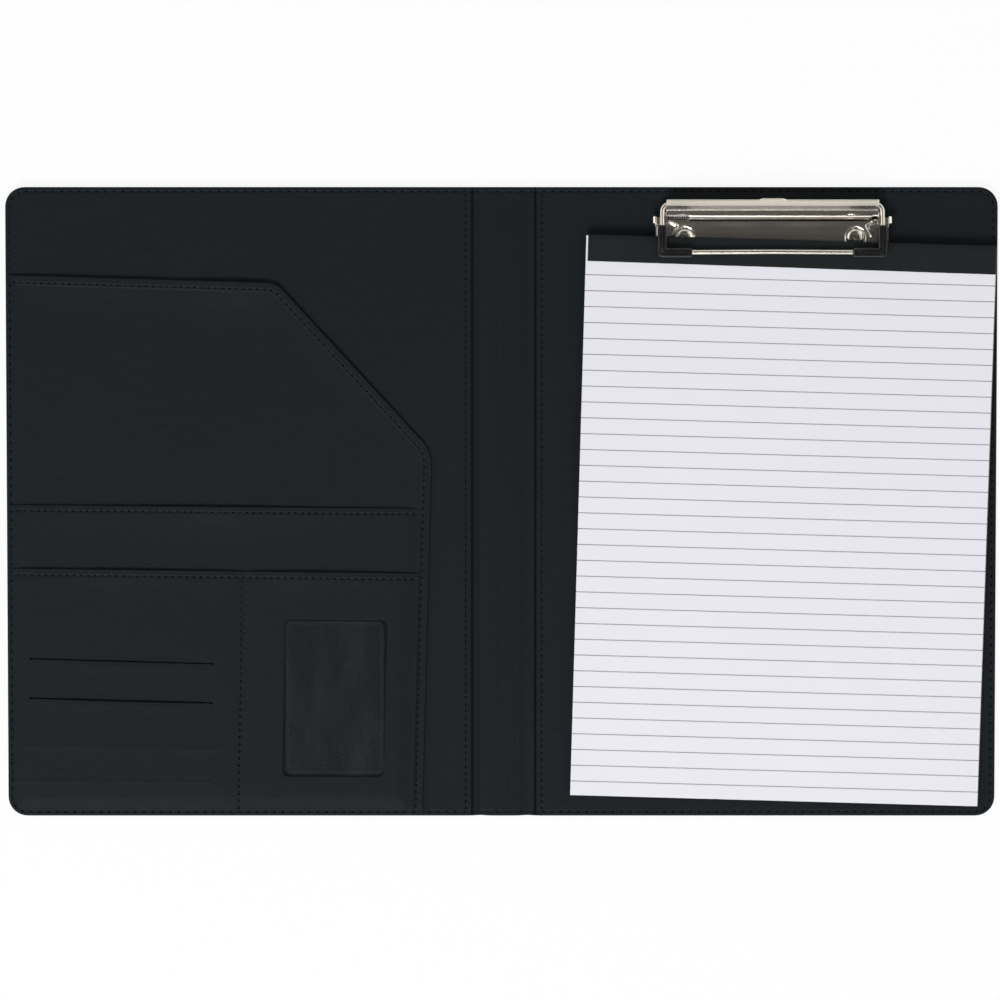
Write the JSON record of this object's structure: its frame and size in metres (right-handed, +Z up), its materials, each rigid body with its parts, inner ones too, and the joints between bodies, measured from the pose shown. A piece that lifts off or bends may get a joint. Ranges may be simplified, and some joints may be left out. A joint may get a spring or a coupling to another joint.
{
  "type": "clipboard folder",
  "caption": "Synthetic leather clipboard folder, lying open flat: wire clip with a writing pad on the right panel, sewn document and card pockets on the left.",
  "frame": {"origin": "bottom centre of the open folder", "axes": "+X from the pocket panel to the pad panel, +Y up the page towards the clip, +Z up out of the inner faces"},
  "size_m": [0.509, 0.324, 0.0157],
  "materials": {
    "cover_pu": "matt fine-grained synthetic leather",
    "lining_pu": "matt fine-grained synthetic leather",
    "foam": "soft wadding",
    "board": "grey board",
    "cloth": "fine woven cloth",
    "film": "clear vinyl film, slightly hazy",
    "nickel": "nickel-plated sheet steel and wire",
    "steel": "plain steel wire",
    "tip": "soft black plastic",
    "paper": "writing paper",
    "card": "brown card",
    "tape": "grained binding tape"
  },
  "bodies": {
    "back_panel": {"cover_skin_back": "cover_pu", "foam_back": "foam", "board_back": "board", "lining_back": "lining_pu", "spine_lining_edge_back": "lining_pu", "clip_base_plate": "nickel", "clip_pin": "steel", "rivet_left": "nickel", "rivet_right": "nickel"},
    "spine": {"cover_skin_spine": "cover_pu", "foam_spine": "foam", "board_spine": "board", "spine_lining": "lining_pu"},
    "front_panel": {"cover_skin_front": "cover_pu", "foam_front": "foam", "board_front": "board", "lining_front": "lining_pu", "spine_lining_edge_front": "lining_pu", "document_pocket": "lining_pu", "middle_pocket": "lining_pu", "lower_pocket": "lining_pu", "card_pocket_cloth": "cloth", "window_pocket_cloth": "cloth", "id_window_film": "film"},
    "clip_jaw": {"clip_lever": "nickel", "wire_bail": "nickel", "corner_tip_left": "tip", "corner_tip_right": "tip", "lever_spring": "steel"},
    "pad": {"pad_backing_card": "card", "pad_sheets": "paper", "pad_binding_tape": "tape", "pad_staple_left": "steel", "pad_staple_right": "steel"},
    "top_sheet": {"pad_top_sheet": "paper"}
  },
  "joints": [
    {"name": "spine_fold", "type": "hinge", "parent": "back_panel", "child": "spine", "pos_m": [0.0135, 0, 0.0004], "axis": [0, -1, 0], "range_deg": [-90, 90]},
    {"name": "cover_fold", "type": "hinge", "parent": "spine", "child": "front_panel", "pos_m": [-0.011, 0, 0.0004], "axis": [0, -1, 0], "range_deg": [-90, 90]},
    {"name": "clip_open", "type": "hinge", "parent": "back_panel", "child": "clip_jaw", "pos_m": [0.1386, 0.1478, 0.0066], "axis": [-1, 0, 0], "range_deg": [0, 30], "stiffness_Nm_per_rad": 0.15, "springref_deg": -28.65},
    {"name": "pad_slide", "type": "slide", "parent": "back_panel", "child": "pad", "axis": [-0.0279, -0.9996, 0], "range_m": [0, 0.04]},
    {"name": "page_turn", "type": "hinge", "parent": "pad", "child": "top_sheet", "pos_m": [0.148, 0.11947, 0.01018], "axis": [-0.9994, 0.036, 0.0001], "range_deg": [0, 115]}
  ]
}
